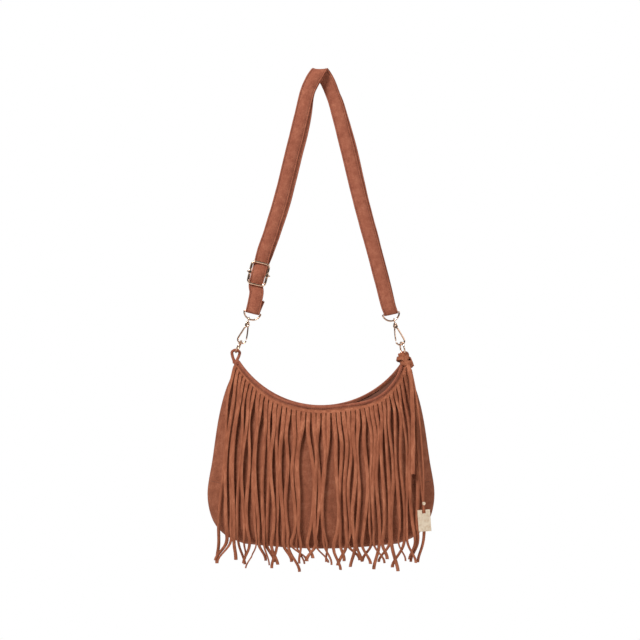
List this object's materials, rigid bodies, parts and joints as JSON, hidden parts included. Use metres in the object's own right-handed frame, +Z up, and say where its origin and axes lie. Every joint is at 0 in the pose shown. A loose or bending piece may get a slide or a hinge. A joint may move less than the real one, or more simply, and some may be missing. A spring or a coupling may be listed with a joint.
{
  "type": "fringed suede bag",
  "caption": "Crescent suede shoulder bag with a fringed front, hanging from a doubled adjustable strap on snap hooks, with a small metal tag.",
  "frame": {"origin": "the hang point, under the strap at its top", "axes": "+X to the right of the bag seen from its fringed front, -Y out of the front, +Z up"},
  "size_m": [0.3168, 0.0884, 0.695],
  "materials": {
    "body_suede": "napped faux suede, mottled tan brown",
    "fringe_suede": "napped faux suede strips",
    "strap_suede": "napped faux suede with edge stitching",
    "lining_cloth": "plain dark woven lining",
    "rose_gold": "polished pale rose-gold plating",
    "pale_gold": "satin pale gold plating"
  },
  "bodies": {
    "strap": {"strap": "strap_suede", "buckle_frame": "rose_gold", "buckle_bar": "rose_gold", "left_swivel_eye": "rose_gold", "right_swivel_eye": "rose_gold"},
    "bag": {"front_panel": "body_suede", "back_panel": "body_suede", "lining_front": "lining_cloth", "lining_back": "lining_cloth", "front_binding": "strap_suede", "back_binding": "strap_suede", "fringe": "rose_gold", "left_tab": "strap_suede", "right_tab": "strap_suede", "knot_lace": "fringe_suede", "tag_lace": "fringe_suede", "tag_rivet": "pale_gold", "snap_socket": "rose_gold", "snap_stud": "rose_gold"},
    "tag": {"tag_plate": "pale_gold"},
    "left_d_ring": {"left_d_ring": "rose_gold"},
    "left_hook": {"left_hook": "rose_gold", "left_gate_pin": "rose_gold"},
    "left_gate": {"left_gate": "rose_gold"},
    "left_ring": {"left_ring": "rose_gold"},
    "right_d_ring": {"right_d_ring": "rose_gold"},
    "right_hook": {"right_hook": "rose_gold", "right_gate_pin": "rose_gold"},
    "right_gate": {"right_gate": "rose_gold"},
    "right_ring": {"right_ring": "rose_gold"}
  },
  "joints": [
    {"name": "left_d_ring_swing", "type": "hinge", "parent": "strap", "child": "left_d_ring", "pos_m": [-0.0956, 0, -0.335], "axis": [0.9703, 0, -0.2419], "range_deg": [-3.5, 3.5]},
    {"name": "left_hook_swivel", "type": "hinge", "parent": "strap", "child": "left_hook", "pos_m": [-0.10323, 0, -0.35363], "axis": [-0.2334, 0, -0.9724], "range_deg": [-20, 20]},
    {"name": "left_gate_open", "type": "hinge", "parent": "left_hook", "child": "left_gate", "pos_m": [-0.10323, 0, -0.35363], "axis": [0, 1, 0], "range_deg": [0, 20], "stiffness_Nm_per_rad": 0.02, "springref_deg": -17.19},
    {"name": "right_d_ring_swing", "type": "hinge", "parent": "strap", "child": "right_d_ring", "pos_m": [0.0976, 0, -0.3365], "axis": [0.9781, 0, 0.2079], "range_deg": [-3.5, 3.5]},
    {"name": "right_hook_swivel", "type": "hinge", "parent": "strap", "child": "right_hook", "pos_m": [0.10421, 0, -0.35556], "axis": [0.1994, 0, -0.9799], "range_deg": [-20, 20]},
    {"name": "right_gate_open", "type": "hinge", "parent": "right_hook", "child": "right_gate", "pos_m": [0.10421, 0, -0.35556], "axis": [0, -1, 0], "range_deg": [0, 20], "stiffness_Nm_per_rad": 0.02, "springref_deg": -17.19},
    {"name": "bag_swing", "type": "hinge", "parent": "strap", "child": "bag", "pos_m": [0.00005, 0, -0.37963], "axis": [1, 0, -0.0099], "range_deg": [-30, 30]},
    {"name": "left_ring_spin", "type": "hinge", "parent": "bag", "child": "left_ring", "pos_m": [-0.11538, 0, -0.38427], "axis": [-0.9013, 0.1045, 0.4203], "continuous": true},
    {"name": "right_ring_spin", "type": "hinge", "parent": "bag", "child": "right_ring", "pos_m": [0.11402, 0, -0.38699], "axis": [-0.9482, -0.2588, -0.1843], "continuous": true},
    {"name": "tag_swing", "type": "hinge", "parent": "bag", "child": "tag", "pos_m": [0.142, -0.037, -0.611], "axis": [0, 1, 0], "range_deg": [-20, 20]}
  ]
}
